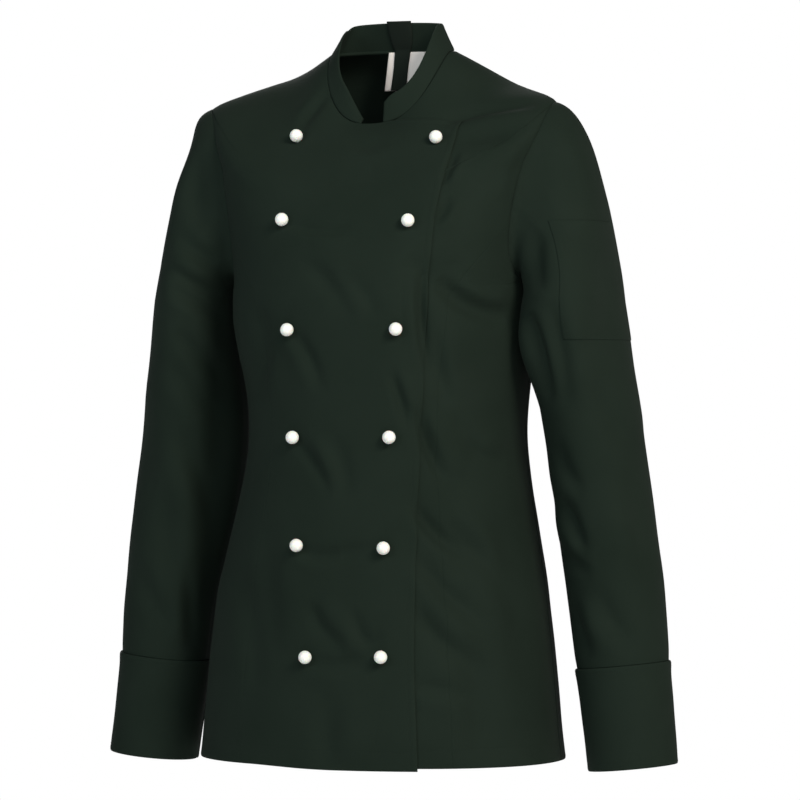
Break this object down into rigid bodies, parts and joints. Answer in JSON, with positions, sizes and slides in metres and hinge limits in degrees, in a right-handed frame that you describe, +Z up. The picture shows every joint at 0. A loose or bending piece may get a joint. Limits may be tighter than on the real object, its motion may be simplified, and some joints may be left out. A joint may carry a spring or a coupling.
{
  "type": "chef jacket",
  "caption": "Women's fitted double-breasted chef jacket with a stand collar, long sleeves, deep cuffs, ball studs and a sleeve pen pocket, filled out as worn.",
  "frame": {"origin": "middle of the neck opening, level with the shoulders beside the collar, where the garment is held", "axes": "+Z up through the neck opening, the front faces -Y, and the wearer's left arm is at +X"},
  "size_m": [0.5758, 0.2699, 0.7241],
  "materials": {
    "twill": "matt near-black twill",
    "label_cloth": "satin off-white tape",
    "stud_white": "smooth white"
  },
  "bodies": {
    "root": {"front_right": "twill", "front_left": "twill", "side_front_right": "twill", "side_front_left": "twill", "back": "twill", "collar": "twill", "hanger_loop": "twill", "sleeve_right": "twill", "sleeve_left": "twill", "cuff_right": "twill", "cuff_left": "twill", "pen_pocket": "twill", "label": "label_cloth", "stud_right_1": "stud_white", "stud_right_2": "stud_white", "stud_right_3": "stud_white", "stud_right_4": "stud_white", "stud_right_5": "stud_white", "stud_right_6": "stud_white", "stud_left_1": "stud_white", "stud_left_2": "stud_white", "stud_left_3": "stud_white", "stud_left_4": "stud_white", "stud_left_5": "stud_white", "stud_left_6": "stud_white"}
  },
  "joints": []
}
